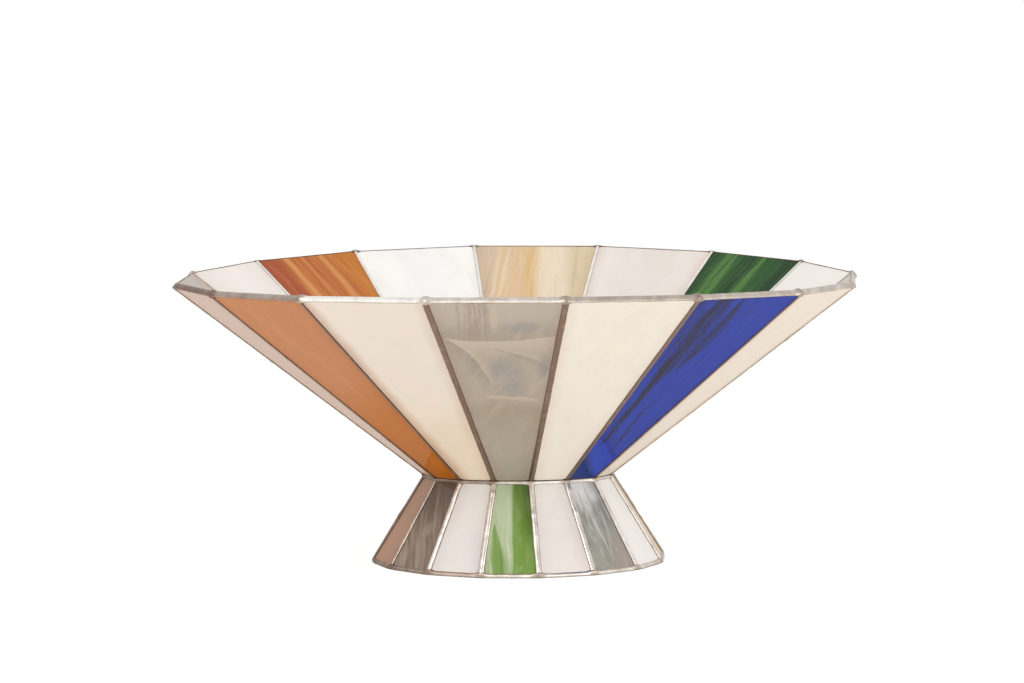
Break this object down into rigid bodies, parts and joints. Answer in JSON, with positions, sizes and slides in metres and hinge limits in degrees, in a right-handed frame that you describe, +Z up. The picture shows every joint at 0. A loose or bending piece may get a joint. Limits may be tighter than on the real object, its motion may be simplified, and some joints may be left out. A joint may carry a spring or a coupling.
{
  "type": "stained glass pedestal bowl",
  "caption": "Pedestal bowl of flat stained-glass panes joined by solder seams: a wide faceted cone on a short flared foot.",
  "frame": {"origin": "on the resting surface, under the middle of the foot", "axes": "+Z up through the middle of the bowl; +X along the slightly longer diameter of the saddle-shaped rim; -Y is the front, where bowl_pane_01 faces"},
  "size_m": [0.362, 0.3556, 0.1545],
  "materials": {
    "cream_glass": "gloss",
    "taupe_glass": "gloss",
    "cobalt_glass": "gloss",
    "green_glass": "gloss",
    "beige_glass": "gloss",
    "rust_glass": "gloss",
    "orange_glass": "gloss",
    "smoke_glass": "gloss",
    "solder": "satin"
  },
  "bodies": {
    "root": {"bowl_pane_01": "taupe_glass", "bowl_pane_02": "cream_glass", "bowl_pane_03": "cobalt_glass", "bowl_pane_04": "cream_glass", "bowl_pane_05": "smoke_glass", "bowl_pane_06": "cream_glass", "bowl_pane_07": "green_glass", "bowl_pane_08": "cream_glass", "bowl_pane_09": "beige_glass", "bowl_pane_10": "cream_glass", "bowl_pane_11": "rust_glass", "bowl_pane_12": "cream_glass", "bowl_pane_13": "taupe_glass", "bowl_pane_14": "cream_glass", "bowl_pane_15": "orange_glass", "bowl_pane_16": "cream_glass", "bowl_seam_01": "solder", "bowl_seam_02": "solder", "bowl_seam_03": "solder", "bowl_seam_04": "solder", "bowl_seam_05": "solder", "bowl_seam_06": "solder", "bowl_seam_07": "solder", "bowl_seam_08": "solder", "bowl_seam_09": "solder", "bowl_seam_10": "solder", "bowl_seam_11": "solder", "bowl_seam_12": "solder", "bowl_seam_13": "solder", "bowl_seam_14": "solder", "bowl_seam_15": "solder", "bowl_seam_16": "solder", "floor_pane": "cream_glass", "rim_bead": "solder", "waist_bead": "solder", "foot_pane_01": "green_glass", "foot_pane_02": "cream_glass", "foot_pane_03": "smoke_glass", "foot_pane_04": "cream_glass", "foot_pane_05": "beige_glass", "foot_pane_06": "cream_glass", "foot_pane_07": "green_glass", "foot_pane_08": "cream_glass", "foot_pane_09": "smoke_glass", "foot_pane_10": "cream_glass", "foot_pane_11": "beige_glass", "foot_pane_12": "cream_glass", "foot_pane_13": "green_glass", "foot_pane_14": "taupe_glass", "foot_pane_15": "smoke_glass", "foot_pane_16": "cream_glass", "foot_lattice": "solder"}
  },
  "joints": []
}
